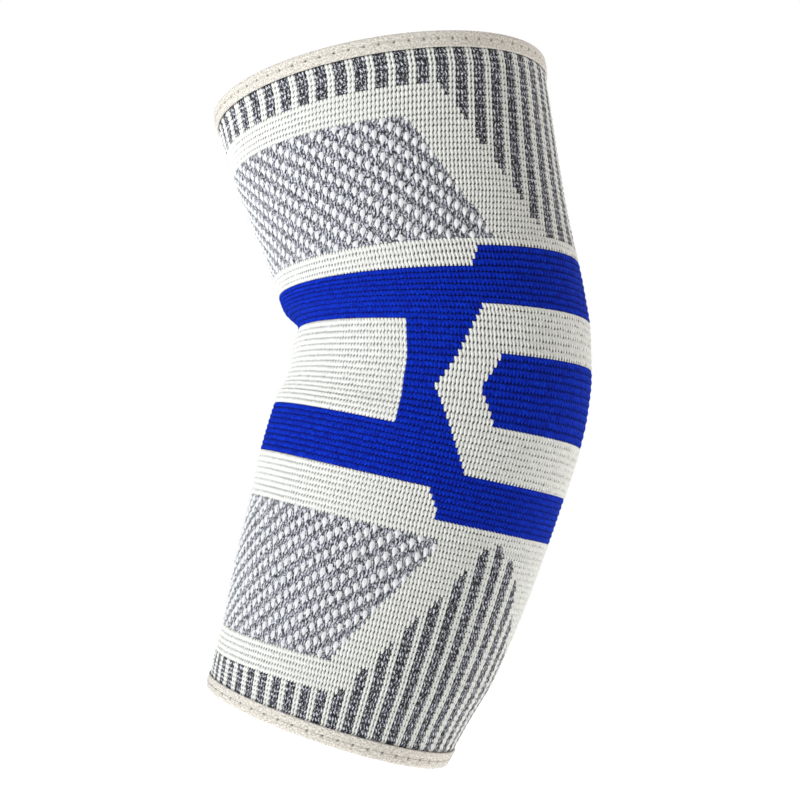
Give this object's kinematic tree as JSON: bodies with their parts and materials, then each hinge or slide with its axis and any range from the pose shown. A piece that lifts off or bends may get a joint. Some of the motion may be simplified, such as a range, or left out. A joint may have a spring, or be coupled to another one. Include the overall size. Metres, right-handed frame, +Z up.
{
  "type": "knitted elbow brace sleeve",
  "caption": "Knitted compression sleeve for an elbow, worn shape: a tapered tube bent at the elbow, with folded edge tape round both open ends.",
  "frame": {"origin": "middle of the bore at the elbow, where the sleeve sits on the arm", "axes": "+Z up the upper arm, +X out past the tip of the elbow, XZ the plane of the bend; the picture looks along +Y"},
  "size_m": [0.1255, 0.0996, 0.2306],
  "materials": {
    "knit_cloth": "matt ribbed jacquard knit in cream white, royal blue and charcoal yarns",
    "edge_tape": "matt beige woven elastic tape, finely ribbed"
  },
  "bodies": {
    "root": {"knitted_sleeve": "knit_cloth", "upper_edge_tape": "edge_tape", "lower_edge_tape": "edge_tape"}
  },
  "joints": []
}
